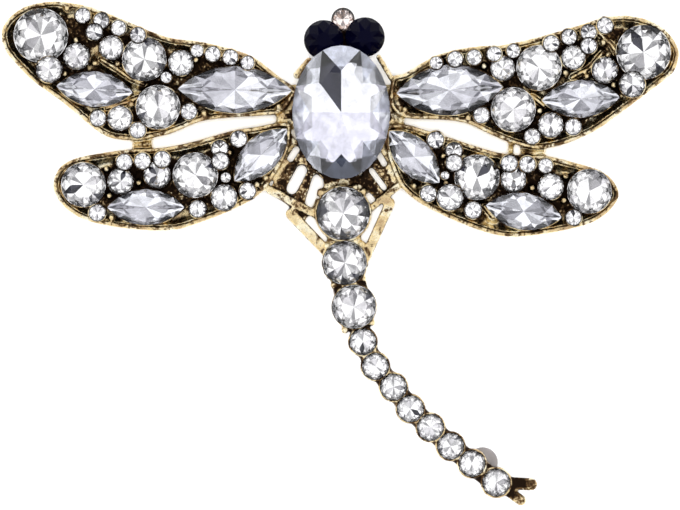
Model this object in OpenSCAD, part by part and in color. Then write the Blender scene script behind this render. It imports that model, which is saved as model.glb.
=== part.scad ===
// A dragonfly brooch of cast metal set with cut stones, lying on its back with its face up.
// X runs to the right, Y towards the head and Z up out of the face. Lengths are in millimetres.

/* [Body] */
// Length of the big oval stone
oval_l = 14.1; // [12:0.1:16]
// Width of the big oval stone
oval_w = 10.3; // [9:0.1:11.5]
// Height of the oval stone's edge above the wing floors
oval_edge_h = 2.45; // [2.3:0.05:3.2]
// Height of the oval stone's faceted top
oval_crown_h = 1.5; // [1:0.05:2]
// Depth of the oval stone below its edge
oval_depth = 1.9; // [1.5:0.05:2.1]
// Diameter of each eye
eye_d = 4.2; // [3.8:0.05:4.4]
// Gap between the two eyes
eye_gap = 0.18; // [0.1:0.02:0.5]
// How far the eyes reach under the end of the oval stone
eye_tuck = 1.3; // [0.9:0.05:1.4]
// Height of an eye's domed top
eye_crown_h = 1.35; // [1:0.05:1.45]
// Turn of the pair of eyes to the left, in degrees
eye_turn = 3.9; // [0:0.1:6]
// Diameter of the stone in front of the eyes
head_stone_d = 2.4; // [1.8:0.05:2.8]

/* [Wings] */
// Length of each upper wing, from its root under the oval stone
upper_wing_l = 31.8; // [28:0.1:35]
// Length of each lower wing, from its root beside the oval stone
lower_wing_l = 25.4; // [22:0.1:28]
// Thickness of the wing floors
floor_t = 1.1; // [0.8:0.05:1.6]
// Height of the wing rims above the floors
rim_h = 1.2; // [0.8:0.05:1.4]
// Width of the wing rims
rim_w = 0.42; // [0.3:0.02:0.6]
// Height of the stones' edges above the wing floors
edge_h = 1.1; // [0.9:0.05:1.4]
// Extra height of the stones that reach over a neighbour
raised_h = 0.9; // [0.85:0.05:1.2]
// Diameter of the small prong grains in the wings
grain_d = 0.62; // [0.4:0.02:0.7]
// Height of the grains above the stones' edges
grain_h = 0.4; // [0.3:0.05:0.7]

/* [Tail] */
// Diameter of the first and largest tail stone
tail_first_d = 5.55; // [4.8:0.05:6.2]
// Diameter of the second and third tail stones
tail_second_d = 4.55; // [4:0.05:5.2]
// Diameter of the row of small tail stones
tail_small_d = 2.72; // [2.3:0.02:3.2]
// Diameter of the last tail stone
tail_last_d = 2.85; // [2.3:0.05:3.3]
// Wall between two tail stones
tail_web = 0.2; // [0.14:0.02:0.4]
// Wall before the last tail stone
last_web = 0.5; // [0.2:0.02:0.6]
// Width of the rim round the first tail cup and the small ones
cup_rim_w = 0.24; // [0.16:0.02:0.4]
// Width of the rim round the second and third tail cups
thin_rim_w = 0.14; // [0.1:0.02:0.3]
// Thickness of the metal under a tail stone
cup_floor_t = 0.6; // [0.4:0.05:1]
// Height of a tail cup's rim above the stone's edge
cup_lip_h = 0.1; // [0:0.02:0.2]
// Gap between the oval stone and the first tail stone
neck_gap = 0.88; // [0.6:0.02:1.6]
// How much lower the tip of the tail lies than its root
tail_drop = 1.4; // [0.8:0.1:1.6]
// Reach of the long prong of the tail tip from the last stone's middle
long_prong_l = 4.35; // [3.6:0.05:5.5]
// Reach of the short prong of the tail tip from the last stone's middle
short_prong_l = 3.77; // [3.2:0.05:4.6]
// Width of the long prong
long_prong_w = 1.3; // [1:0.05:1.6]
// Width of the short prong
short_prong_w = 1.1; // [0.9:0.05:1.3]
// Thickness of the prongs of the tail tip
tip_t = 1.2; // [0.8:0.05:1.6]

/* [Stones] */
// Gap between a stone and the metal round it
seat_gap = 0.04; // [0.02:0.01:0.06]
// Height of a round stone's faceted top, as a share of its diameter
crown_share = 0.17; // [0.12:0.01:0.2]
// Depth of a small stone's cup below the stone's edge, as a share of its diameter
cup_share = 0.3; // [0.25:0.01:0.36]
// Thickness of a stone's edge
girdle_t = 0.08; // [0.04:0.02:0.12]

/* [Lattice] */
// Thickness of the pierced plates and of the plate under the body
plate_t = 1.6; // [1.2:0.05:1.9]
// Width of the upper leg on the left
left_thigh_w = 0.85; // [0.6:0.05:1.1]
// Width of the upper leg on the right
right_thigh_w = 0.74; // [0.6:0.02:1]
// Width of the lower leg on the left
left_shin_w = 1.15; // [0.8:0.05:1.4]
// Width of the lower leg on the right
right_shin_w = 1.06; // [0.8:0.02:1.3]
// Thickness of the legs
leg_t = 1.9; // [1.4:0.05:2.2]
// Width of the neck between the oval stone and the tail
neck_w = 3.8; // [2.6:0.1:4.4]

/* [Pin] */
// Depth of the pin finding behind the back of the wings
pin_depth = 3; // [2.8:0.1:3.8]
// Length of the pin finding's base bar
pin_bar_l = 32; // [26:0.5:36]
// Width of the pin finding's base bar
pin_bar_w = 3; // [2.4:0.1:4]
// Thickness of the pin finding's base bar
pin_bar_t = 0.5; // [0.4:0.05:0.7]
// Diameter of the pin's wire
pin_wire_d = 0.9; // [0.7:0.05:1.1]
// Height of the wire's middle above the surface that the brooch lies on
pin_wire_h = 0.8; // [0.6:0.05:1.2]
// Length of the block that holds the wire's thick end
hinge_l = 2.6; // [2:0.1:4]
// Length of the block that holds the wire's point
catch_l = 1.8; // [1.4:0.1:3]
// Gap between the finding and the back of the brooch
back_gap = 0.03; // [0.02:0.01:0.1]
// Diameter of the grey pad behind the tail
pad_d = 3.2; // [2.4:0.1:4]

/* [Hidden] */
METAL = [0.74, 0.6, 0.36];
PALE_METAL = [0.8, 0.74, 0.6];
CLEAR = [0.86, 0.89, 0.94];
BLACK = [0.06, 0.06, 0.09];
GREY = [0.6, 0.58, 0.58];
$fn = 32;
// Reach of a cut beyond what it cuts
BEYOND = 9;

// Heights
back_z = pin_depth;
floor_z = back_z + floor_t;
edge_z = floor_z + edge_h;
oval_edge_z = floor_z + oval_edge_h;

// Cuts of the stones. Columns: shares of the outline at the table, at the middle of the crown,
// at the knee of the back and at the culet, height of the crown's middle as a share of the
// crown's, depth of the knee as a share of the stone's width
BRILLIANT = [0.56, 0.78, 0.38, 0.28, 0.6, 0.3];
EYE_CUT = [0.36, 0.8, 0.66, 0.58, 0.62, 0.3];
OVAL_CUT = [0.62, 0.84, 0.5, 0.3, 0.6, 0.137];
// Most that the knee takes of a stone's depth
KNEE_LIMIT = 0.9;
// Main facets round a stone
FACETS = 8;
// Width of the post under a small stone, as a share of the stone's
POST_SHARE = 0.8;
// Points round a stone's pocket, and from one point of a wing's outline to the next
CURVE_STEPS = 48;
OUTLINE_STEPS = 3;

// Wing tables. Every place and size is in hundredths of the wing's length, measured from the
// wing's root: outwards from the body first, then towards the head.

// Outlines. Columns: outwards, towards the head
UPPER_LEFT_OUTLINE = [
    [1.8, 0.3], [7.1, 4.3], [12.1, 8.3], [16.4, 11.3], [23.1, 13.7], [33.8, 16.2], [43.1, 17.3],
    [50.4, 19.7], [61.1, 24.3], [70.4, 27.8], [77.8, 29.2], [84.4, 29.5], [92.4, 27.7],
    [98.1, 23.3], [100, 18.3], [98.4, 12.7], [93.8, 7.3], [88.8, 2.5], [81.4, -2.7],
    [74.8, -8], [68.4, -13.3], [63.1, -16], [55.4, -16.7], [48.8, -15.7], [43.1, -14.3],
    [33.8, -10.5], [25.4, -9.3], [13.1, -8.5], [7.1, -7.7], [3.4, -3.7]
];
UPPER_RIGHT_OUTLINE = [
    [4.3, 4], [8.3, 5.5], [13.7, 8.7], [19.3, 11.7], [25.3, 13.4], [33.7, 14.7], [41, 15],
    [50.3, 17], [60.3, 19.7], [68.7, 22.3], [75.3, 24.3], [81.7, 24.9], [88.7, 23.7],
    [94.7, 20.7], [98.7, 16], [100, 11.7], [98.3, 6.3], [93.7, 2.2], [87, -2.8],
    [79.7, -8.3], [73, -13], [65.3, -16.7], [58, -19], [51, -19.5], [43.7, -17.5],
    [37, -14.7], [29, -11], [20.3, -9.8], [8.3, -9.2], [3.7, -4.7]
];
LOWER_LEFT_OUTLINE = [
    [1, -0.8], [6.9, -0.4], [15.6, -2.1], [24, -3.3], [34.4, -6.2], [44.8, -9], [55.2, -10.8],
    [68.5, -11.5], [80.2, -13.1], [89.4, -14.8], [96, -17.9], [99.6, -23.3], [99.6, -28.8],
    [96.5, -34.2], [91, -38.8], [83.5, -41.9], [72.7, -44], [59.4, -45.3], [47.7, -44.8],
    [38.5, -41.9], [28.1, -37.9], [18.5, -33.3], [11.9, -28.3], [6.9, -21.3], [2.7, -13.3],
    [1, -6.7]
];
LOWER_RIGHT_OUTLINE = [
    [3, -2.1], [10.5, -0.8], [19.3, -3.3], [29.7, -6.5], [40.1, -10], [50.5, -12.9], [61, -14],
    [70.5, -14.2], [80.5, -16.7], [88.9, -19], [95.5, -22.1], [99.7, -27.5], [99.7, -32.5],
    [94.7, -38.5], [87.2, -42.7], [76.4, -45.4], [65.1, -47.3], [53.9, -47.9], [43.9, -45.8],
    [33.9, -42.1], [23.9, -37.5], [16.4, -33.3], [9.7, -27.5], [5.5, -19.2], [3, -10.8]
];

// Large round stones. Columns: outwards, towards the head, diameter
UPPER_LEFT_ROUNDS = [[86.8, 18.2, 18.1], [52.3, 10.3, 14.7], [47.7, -5.7, 14.7]];
UPPER_RIGHT_ROUNDS = [[88.1, 12.6, 18.1], [53.3, 7.4, 15], [44.7, -6.5, 14.8]];
LOWER_LEFT_ROUNDS = [[87.3, -26.2, 18.5], [40.6, -22.2, 18.8]];
LOWER_RIGHT_ROUNDS = [[87.9, -28.9, 18.5], [41, -23.1, 18.8]];
ROUND_NAMES = ["tip_round", "middle_round", "edge_round"];

// Pointed oval stones, outer one first. Columns: outwards, towards the head, length, width, turn
UPPER_LEFT_NAVETTES = [[68.9, 0.3, 25.3, 11.8, 5], [22.1, 0.1, 37.8, 15.6, 1]];
UPPER_RIGHT_NAVETTES = [[67.2, -2.9, 25.8, 12.5, 2.5], [23.5, 0, 35.3, 16.8, 3.5]];
LOWER_LEFT_NAVETTES = [[61.3, -35.6, 31.9, 14.9, 0], [13.3, -13.8, 30.6, 15, -45]];
LOWER_RIGHT_NAVETTES = [[60.5, -37.3, 31.8, 15.4, -9], [14.8, -14.6, 29.8, 15, -46]];
NAVETTE_NAMES = ["outer_navette", "inner_navette"];

// Small round stones. Columns: outwards, towards the head, diameter, raised (1) or not (0)
UPPER_LEFT_SMALL = [
    [83.9, 6.8, 8.7, 1], [74.8, 11.2, 8.8, 0], [72.8, 24.8, 5.2, 0], [66.6, 23.2, 5.3, 0],
    [68.9, 19.3, 5.6, 1], [60.9, 20.7, 5.2, 0], [63.3, 14.1, 8.1, 0], [54.4, 18.3, 5.3, 1],
    [40.1, 9, 8.5, 0], [34.7, 13.1, 4.3, 0], [29.5, 12, 5.3, 0], [23.6, 10.9, 5.3, 0],
    [17.9, 9, 4.6, 1], [45, 4.2, 3.7, 0], [37.4, -7.2, 5.5, 0], [67.7, -9.4, 5.5, 0],
    [60.4, -9.4, 8.3, 0], [54.5, -13.4, 5.5, 0]
];
UPPER_RIGHT_SMALL = [
    [84.3, 1.8, 8.6, 1], [75.2, 6.6, 8.7, 0], [75.3, 21.5, 5.5, 0], [69.8, 19.3, 5.4, 0],
    [69.8, 14.7, 5.4, 1], [63.3, 17.7, 5.3, 0], [64.7, 10.8, 8, 0], [57.3, 15.5, 5.5, 1],
    [44.7, 13, 4.7, 0], [41.2, 7.2, 8.2, 0], [38.3, 12, 5, 1], [31.7, 10.9, 5.3, 0],
    [25.3, 10.3, 5.3, 1], [19, 9, 4.3, 1], [34.1, -8.4, 5.5, 0], [57.2, -11.7, 8.4, 0],
    [64.7, -12.3, 5.6, 0], [51, -15.5, 5.4, 0]
];
LOWER_LEFT_SMALL = [
    [71.8, -24.8, 10.8, 0], [70.2, -16.7, 6.9, 1], [62.6, -16.3, 6.9, 1], [54.4, -15.6, 7.1, 1],
    [56.5, -22.1, 11.2, 0], [30.4, -11, 7.1, 0], [30.1, -16.3, 7.2, 1], [22.5, -7.1, 7.1, 0],
    [27.9, -23.2, 4.2, 0], [28.6, -31.6, 11, 0], [39.6, -36.3, 7.3, 0], [18.8, -28.8, 7.1, 0],
    [81.5, -37.9, 7.2, 0]
];
LOWER_RIGHT_SMALL = [
    [71.7, -27, 10.8, 0], [69.6, -18.3, 6.3, 0], [62, -17.7, 6.9, 1], [54.4, -17.3, 7.1, 1],
    [56.2, -24, 10.6, 0], [31.4, -11.9, 7.1, 0], [31.4, -17.1, 7.1, 1], [23.7, -7.5, 7.1, 0],
    [27.6, -22.3, 3.4, 0], [29.7, -31.5, 11, 1], [39.4, -36.8, 7.3, 0], [20.7, -29.9, 7.1, 0],
    [81.3, -39.9, 6.8, 0]
];

// Prong grains. Columns: outwards, towards the head
UPPER_LEFT_GRAINS = [
    [68.8, 8.9], [61.1, 8.9], [56.6, -4.9], [78.1, 27], [75.1, 16.7], [78.8, 5.5], [32.4, -7.7],
    [35.1, 10], [7.5, -5.5]
];
UPPER_RIGHT_GRAINS = [
    [76.3, 11.6], [69.2, 4.6], [62.1, 5.7], [53.5, -6.9], [78.2, 1.7], [74.6, 15.8],
    [29.8, -9.1], [35, 8], [8.5, -6.5]
];
LOWER_LEFT_GRAINS = [
    [77.7, -19.5], [64.2, -25.3], [76.5, -30.8], [75.6, -39.8], [14.8, -26.1], [26.3, -12.9],
    [11.2, -23.4]
];
LOWER_RIGHT_GRAINS = [
    [78, -22.6], [64.1, -27.5], [77.2, -32.8], [27, -14.2], [28, -25.5], [14.7, -26.7]
];

// The wings. Columns: name, side, length, how far its root lies under the oval stone, place of
// its root along the oval stone's length, then the tables above
NAME = 0;
SIDE = 1;
LENGTH = 2;
UNDER = 3;
RISE = 4;
OUTLINE = 5;
ROUNDS = 6;
NAVETTES = 7;
SMALL = 8;
GRAINS = 9;
UPPER_LEFT = [
    "upper_left", -1, upper_wing_l, 0.91, 0.168, UPPER_LEFT_OUTLINE, UPPER_LEFT_ROUNDS,
    UPPER_LEFT_NAVETTES, UPPER_LEFT_SMALL, UPPER_LEFT_GRAINS
];
UPPER_RIGHT = [
    "upper_right", 1, upper_wing_l, 1.13, 0.168, UPPER_RIGHT_OUTLINE, UPPER_RIGHT_ROUNDS,
    UPPER_RIGHT_NAVETTES, UPPER_RIGHT_SMALL, UPPER_RIGHT_GRAINS
];
LOWER_LEFT = [
    "lower_left", -1, lower_wing_l, 0, -0.072, LOWER_LEFT_OUTLINE, LOWER_LEFT_ROUNDS,
    LOWER_LEFT_NAVETTES, LOWER_LEFT_SMALL, LOWER_LEFT_GRAINS
];
LOWER_RIGHT = [
    "lower_right", 1, lower_wing_l, 1.17, -0.072, LOWER_RIGHT_OUTLINE, LOWER_RIGHT_ROUNDS,
    LOWER_RIGHT_NAVETTES, LOWER_RIGHT_SMALL, LOWER_RIGHT_GRAINS
];
WINGS = [UPPER_LEFT, UPPER_RIGHT, LOWER_LEFT, LOWER_RIGHT];

// Struts between two wings. Columns: wing, place on it, other wing, place on it, width
STRUTS = [
    [UPPER_LEFT, [53.1, -14.5], LOWER_LEFT, [62.7, -12.9], 2.1],
    [UPPER_RIGHT, [44, -15.5], LOWER_RIGHT, [55.1, -14.5], 0.58],
    [UPPER_RIGHT, [51.3, -17.5], LOWER_RIGHT, [64.3, -15.5], 2.65]
];

// The tail, from the body to the tip. Columns: diameter, heading of the next stone, wall before
// the next stone, width of the cup's rim
TAIL = [
    [tail_first_d, -88, tail_web, cup_rim_w], [tail_second_d, -78, tail_web, thin_rim_w],
    [tail_second_d, -76, tail_web, thin_rim_w], [tail_small_d, -63, tail_web, cup_rim_w],
    [tail_small_d, -49, tail_web, cup_rim_w], [tail_small_d, -52, tail_web, cup_rim_w],
    [tail_small_d, -43, tail_web, cup_rim_w], [tail_small_d, -43, tail_web, cup_rim_w],
    [tail_small_d, -39, tail_web, cup_rim_w], [tail_small_d, -38, last_web, cup_rim_w],
    [tail_last_d, 0, 0, cup_rim_w]
];
LAST = len(TAIL) - 1;
// How far to the right of the oval stone's middle the tail starts
TAIL_SHIFT = 0.2;
// Width of the bar between two cups, as a share of the stone's
LINK_SHARE = 0.8;
// Headings of the two prongs of the tail tip
LONG_PRONG_TURN = -3;
SHORT_PRONG_TURN = -36;

// Prongs round the large tail stones. Columns: tail stone, direction, diameter
CUP_PRONGS = [
    [0, 136.5, 0.9], [0, 47.2, 0.75], [0, 65, 0.65], [1, 135.3, 0.68], [1, 47.8, 0.8],
    [1, -41, 0.62], [1, -116, 0.72], [2, -41.9, 0.62], [2, -111.6, 0.78]
];

// The pierced plates, in hundredths of the oval stone's width and length from its middle.
// Columns: to the right, towards the head
LEFT_PLATE = [
    [-59, -8.7], [-46.6, -20.8], [-39.4, -31.3], [-29.1, -41.8], [-15.7, -49.3], [-14.6, -58.3],
    [-24.9, -62.9], [-28, -71.9], [-36.3, -80.2], [-73.4, -59.8], [-65.2, -43.3], [-54.8, -28.3]
];
LEFT_OPENING = [
    [-25, -46.3], [-16.2, -51.6], [-16.2, -56.8], [-23.9, -58.3], [-26, -64.4], [-31.1, -73.8],
    [-36.8, -73.4], [-36.8, -65.9], [-32.7, -56.1], [-29.1, -47.8]
];
RIGHT_PLATE = [
    [52.4, -13.2], [43.1, -25.3], [34.8, -32.8], [25.6, -41.8], [19.4, -47.8], [16.3, -56.8],
    [25.6, -62.9], [31.8, -73.4], [58.6, -56.8], [64.7, -53.8], [54.4, -39.5], [46.2, -28.3]
];
RIGHT_OPENING = [[23.5, -63.6], [28.7, -59.5], [37.4, -67.4], [29.7, -71.1]];
// Columns: one end, other end, width
SLOTS = [
    [[-46.1, -27.9], [-52.3, -34.7], 0.69], [[-40.9, -43.7], [-50.7, -57.2], 1.17],
    [[39, -31.7], [44.1, -38.4], 0.64], [[31.2, -43.7], [44.1, -56.5], 0.58]
];
// Legs. Columns: place on the plate, tail stone, direction of the foot round it, width
LEGS = [
    [[-73.4, -58.3], 0, 184, left_thigh_w], [[58.6, -55.3], 0, 8, right_thigh_w],
    [[-51.8, -76.4], 1, 148, left_shin_w], [[50.3, -68.1], 1, 15, right_shin_w]
];
// Plate under the body, from its left end to its right end
ROOT_PLATE = [[-67.2, -12.5], [64.7, 18.3]];
// Lugs at the oval stone's shoulders. Columns: one end, other end, width
LUGS = [[[-45.6, 28.1], [-33.2, 38.6], 0.75], [[38.5, 41.7], [51.3, 25.9], 0.5]];
// How far the lugs end below the stone's edge
LUG_FALL = 0.35;
// Steps of the pocket under the oval stone, as shares of its outline
POCKET = [0.95, 0.84, 0.66, 0.52];
// Width of the cup under the oval stone, as a share of the stone's
CUP_SHARE = 0.975;

// The head: its shift to the right, how far its stone reaches under the eyes, and the width of
// the bars that carry them
HEAD_SHIFT = 0.33;
HEAD_TUCK = 0.3;
HEAD_BAR_W = 1.4;
// Metal under the head stone and under the eyes, and height of their edges above it
HEAD_FLOOR_T = 0.4;
HEAD_EDGE_H = 0.7;
EYE_FLOOR_T = 0.95;
EYE_EDGE_H = 0.85;
// Width of the discs under them, as a share of the stones'
EYE_DISC_SHARE = 0.72;

// The pin finding and the pad, placed from the upper wings' roots and from the tail stone
// before the last
PIN_FALL = 0.9;
PAD_PLACE = [1.17, 0.1];

// Outlines

function bend(a, b, c, d, t) =
    (2 * b + (c - a) * t + (2 * a - 5 * b + 4 * c - d) * t * t
        + (3 * b - a - 3 * c + d) * t * t * t) / 2;

// A closed smooth curve through the points
function smooth(points) =
    let (n = len(points))
    [
        for (i = [0:n - 1], k = [0:OUTLINE_STEPS - 1])
            bend(points[(i + n - 1) % n], points[i], points[(i + 1) % n], points[(i + 2) % n],
                k / OUTLINE_STEPS)
    ];

// A clockwise outline moved inwards
function inset(points, depth) =
    let (n = len(points))
    [
        for (i = [0:n - 1])
            let (along = points[(i + 1) % n] - points[(i + n - 1) % n])
                points[i] + depth * [along.y, -along.x] / norm(along)
    ];

function navette_point(size, t) =
    let (radius = (size.x * size.x + size.y * size.y) / (4 * size.y), x = size.x / 2 * cos(t))
        [x, (sqrt(radius * radius - x * x) - radius + size.y / 2) * (sin(t) < 0 ? -1 : 1)];

function outline_point(size, t, pointed) =
    pointed ? navette_point(size, t) : [size.x * cos(t), size.y * sin(t)] / 2;

function stone_outline(size, pointed) =
    [for (i = [0:CURVE_STEPS - 1]) outline_point(size, i * 360 / CURVE_STEPS, pointed)];

// Places

function towards(angle) = [cos(angle), sin(angle)];

function wing_root(wing) = [wing[SIDE] * (oval_w / 2 - wing[UNDER]), wing[RISE] * oval_l];

function on_wing(wing, place) =
    wing_root(wing) + wing[LENGTH] / 100 * [wing[SIDE] * place[0], place[1]];

function on_body(place) = [place[0] * oval_w, place[1] * oval_l] / 100;

function outer_edge(wing) = [for (p = smooth(wing[OUTLINE])) on_wing(wing, p)];

function inner_edge(wing) =
    [for (p = inset(smooth(wing[OUTLINE]), 100 * rim_w / wing[LENGTH])) on_wing(wing, p)];

function stone_d(wing, row) = row[2] / 100 * wing[LENGTH];

// Depth of a small stone below its edge
function small_depth(wing, row) = min(cup_share * stone_d(wing, row), edge_h) - seat_gap;

// Height of the metal under a small stone
function small_seat_z(wing, row) =
    edge_z + row[3] * raised_h - small_depth(wing, row) - seat_gap;

function tail_r(i) = TAIL[i][0] / 2;

function tail_at(i) =
    i == 0
        ? [TAIL_SHIFT, -oval_l / 2 - neck_gap - tail_r(0)]
        : tail_at(i - 1) + (tail_r(i - 1) + tail_r(i) + TAIL[i - 1][2]) * towards(TAIL[i - 1][1]);

function tail_back(i) = back_z - tail_drop * pow(i / LAST, 2);

function tail_edge(i) = tail_back(i) + cup_floor_t + cup_share * TAIL[i][0];

function knee_depth(cut, size, depth) = min(cut[5] * min(size), KNEE_LIMIT * depth);

// Depth of the oval stone's back below its edge at a share of its outline
function oval_fall(share) =
    let (knee = knee_depth(OVAL_CUT, [oval_w, oval_l], oval_depth))
        girdle_t + (knee - girdle_t) * (1 - share) / (1 - OVAL_CUT[2]);

head_at = [HEAD_SHIFT, oval_l / 2 + eye_d / 2 - eye_tuck];
eye_apart = (eye_d + eye_gap) / 2;
head_reach = (eye_d + head_stone_d) / 2 - HEAD_TUCK;
left_eye_at = head_at - eye_apart * towards(eye_turn);
right_eye_at = head_at + eye_apart * towards(eye_turn);
head_stone_at = head_at
    + sqrt(head_reach * head_reach - eye_apart * eye_apart) * towards(90 + eye_turn);
eye_floor_z = back_z + EYE_FLOOR_T;
head_floor_z = back_z + HEAD_FLOOR_T;
pad_at = tail_at(LAST - 1) + PAD_PLACE;
pin_at = [0, wing_root(UPPER_LEFT).y - PIN_FALL];
left_end = min([for (p = outer_edge(UPPER_LEFT)) p.x]);
right_end = max([for (p = outer_edge(UPPER_RIGHT)) p.x]);
top_end = max([for (wing = [UPPER_LEFT, UPPER_RIGHT], p = outer_edge(wing)) p.y]);
bottom_end = tail_at(LAST).y + (short_prong_l - short_prong_w / 2) * sin(SHORT_PRONG_TURN)
    - short_prong_w / 2;
middle = [left_end + right_end, top_end + bottom_end] / 2;

// Puts the middle of the whole at the origin
module placed() {
    translate([-middle.x, -middle.y, 0])
        children();
}

module raise(at, z) {
    translate([at.x, at.y, z])
        children();
}

// Bars and posts

// A straight bar between two places, with round ends
module bar(from, to, width, low, high) {
    along = to - from;
    raise(from, low)
        rotate(atan2(along.y, along.x))
            linear_extrude(high - low) {
                translate([0, -width / 2])
                    square([norm(along), width]);
                circle(d = width);
                translate([norm(along), 0])
                    circle(d = width);
            }
}

module post(at, width, low, high) {
    raise(at, low)
        cylinder(h = high - low, d = width);
}

// A post with a round top
module grain(at, width, low, high) {
    post(at, width, low, high - width / 2);
    raise(at, high - width / 2)
        sphere(d = width);
}

module plate(points, low, high) {
    translate([0, 0, low])
        linear_extrude(high - low)
            polygon(points);
}

// Stones. A stone's edge lies at z = 0

function stone_ring(size, share, count, phase, z, pointed) =
    [
        for (i = [0:count - 1])
            let (p = share * outline_point(size, (i + phase) * 360 / count, pointed))
                [p.x, p.y, z]
    ];

// A brilliant: star, kite and half facets round the table, and as many round the culet
module cut_stone(cut, size, crown, depth, pointed = false) {
    n = FACETS;
    table = 0;
    kite = n;
    edge = 2 * n;
    under = 4 * n;
    knee = 6 * n;
    culet = 7 * n;
    points = concat(
        stone_ring(size, cut[0], n, 0, crown, pointed),
        stone_ring(size, cut[1], n, 0.5, crown * cut[4], pointed),
        stone_ring(size, 1, 2 * n, 0, 0, pointed),
        stone_ring(size, 1, 2 * n, 0, -girdle_t, pointed),
        stone_ring(size, cut[2], n, 0.5, -knee_depth(cut, size, depth), pointed),
        stone_ring(size, cut[3], n, 0, -depth, pointed)
    );
    facets = [
        for (i = [0:n - 1])
            let (
                next = (i + 1) % n,
                before = (i + n - 1) % n,
                a = 2 * i,
                b = 2 * i + 1,
                c = (2 * i + 2) % (2 * n)
            )
                each [
                    [table + next, kite + i, table + i],
                    [kite + i, edge + a, table + i],
                    [edge + a, kite + before, table + i],
                    [edge + b, edge + a, kite + i],
                    [edge + c, edge + b, kite + i],
                    [under + b, under + a, edge + a],
                    [edge + b, under + b, edge + a],
                    [under + c, under + b, edge + b],
                    [edge + c, under + c, edge + b],
                    [knee + i, culet + next, culet + i],
                    [under + a, knee + i, culet + i],
                    [knee + before, under + a, culet + i],
                    [under + a, under + b, knee + i],
                    [under + b, under + c, knee + i]
                ]
    ];
    caps = [[for (i = [n - 1:-1:0]) table + i], [for (i = [0:n - 1]) culet + i]];
    polyhedron(points, concat(facets, caps));
}

// A small stone: one ring of facets above its edge and two below it
module small_stone(cut, d, depth) {
    size = [d, d];
    n = FACETS;
    rings = [
        stone_ring(size, cut[0], n, 0, crown_share * d, false),
        stone_ring(size, 1, n, 0, 0, false),
        stone_ring(size, 1, n, 0, -girdle_t, false),
        stone_ring(size, cut[2], n, 0, -knee_depth(cut, size, depth), false),
        stone_ring(size, cut[3], n, 0, -depth, false)
    ];
    last = len(rings) - 1;
    sides = [
        for (k = [0:last - 1], i = [0:n - 1])
            let (next = (i + 1) % n)
                [k * n + i, k * n + next, (k + 1) * n + next, (k + 1) * n + i]
    ];
    caps = [[for (i = [n - 1:-1:0]) i], [for (i = [0:n - 1]) last * n + i]];
    polyhedron([for (ring = rings) each ring], concat(sides, caps));
}

module oval_stone() {
    color(CLEAR)
        placed()
            translate([0, 0, oval_edge_z])
                cut_stone(OVAL_CUT, [oval_w, oval_l], oval_crown_h, oval_depth);
}

module eye(at) {
    color(BLACK)
        placed()
            raise(at, eye_floor_z + EYE_EDGE_H)
                cut_stone(EYE_CUT, [eye_d, eye_d], eye_crown_h, EYE_EDGE_H - seat_gap);
}

module head_stone() {
    color(CLEAR)
        placed()
            raise(head_stone_at, head_floor_z + HEAD_EDGE_H)
                cut_stone(BRILLIANT, [head_stone_d, head_stone_d], crown_share * head_stone_d,
                    HEAD_EDGE_H - seat_gap);
}

module tail_stone(i) {
    d = TAIL[i][0];
    color(CLEAR)
        placed()
            raise(tail_at(i), tail_edge(i))
                cut_stone(BRILLIANT, [d, d], crown_share * d, cup_share * d - seat_gap);
}

module large_stone(wing, i) {
    row = wing[ROUNDS][i];
    d = stone_d(wing, row);
    color(CLEAR)
        placed()
            raise(on_wing(wing, row), edge_z)
                cut_stone(BRILLIANT, [d, d], crown_share * d, edge_h - seat_gap);
}

module pointed_stone(wing, i) {
    row = wing[NAVETTES][i];
    size = [row[2], row[3]] / 100 * wing[LENGTH];
    color(CLEAR)
        placed()
            raise(on_wing(wing, row), edge_z)
                rotate(wing[SIDE] * row[4])
                    cut_stone(BRILLIANT, size, crown_share * size.y, edge_h - seat_gap, true);
}

module small_stones(wing) {
    color(CLEAR)
        placed()
            for (row = wing[SMALL])
                raise(on_wing(wing, row), edge_z + row[3] * raised_h)
                    small_stone(BRILLIANT, stone_d(wing, row), small_depth(wing, row));
}

// The metal

module wing_tray(wing) {
    plate(outer_edge(wing), back_z, floor_z);
    translate([0, 0, back_z])
        linear_extrude(floor_t + rim_h)
            difference() {
                polygon(outer_edge(wing));
                polygon(inner_edge(wing));
            }
    for (row = wing[GRAINS])
        grain(on_wing(wing, row), grain_d, back_z, edge_z + grain_h);
    for (row = wing[SMALL])
        post(on_wing(wing, row), POST_SHARE * stone_d(wing, row), back_z, small_seat_z(wing, row));
}

module struts() {
    for (row = STRUTS)
        bar(on_wing(row[0], row[1]), on_wing(row[2], row[3]), row[4], back_z, floor_z);
}

// Cup under the oval stone, on the plate that joins the wings
module body_cup() {
    low = on_body(ROOT_PLATE[0]);
    high = on_body(ROOT_PLATE[1]);
    raise(low, back_z)
        cube([high.x - low.x, high.y - low.y, plate_t]);
    plate(stone_outline([oval_w, oval_l] * CUP_SHARE, false), back_z,
        oval_edge_z - oval_fall(POCKET[0]) - seat_gap);
    for (row = LUGS)
        bar(on_body(row[0]), on_body(row[1]), row[2], back_z, oval_edge_z - LUG_FALL);
    bar([0, -oval_l / 2], tail_at(0), neck_w, back_z, back_z + plate_t);
}

module oval_pocket() {
    for (i = [0:len(POCKET) - 1])
        plate(stone_outline([oval_w, oval_l] * POCKET[i], false),
            oval_edge_z - seat_gap - (i < len(POCKET) - 1 ? oval_fall(POCKET[i + 1]) : oval_depth),
            oval_edge_z);
}

module head_plates() {
    for (at = [left_eye_at, right_eye_at])
        post(at, EYE_DISC_SHARE * eye_d, back_z, eye_floor_z);
    bar(left_eye_at, right_eye_at, HEAD_BAR_W, back_z, eye_floor_z);
    post(head_stone_at, EYE_DISC_SHARE * head_stone_d, back_z, head_floor_z);
    bar(head_at, head_stone_at, HEAD_BAR_W, back_z, head_floor_z);
    bar([head_at.x, 0], head_at, eye_d, back_z, eye_floor_z);
}

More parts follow.
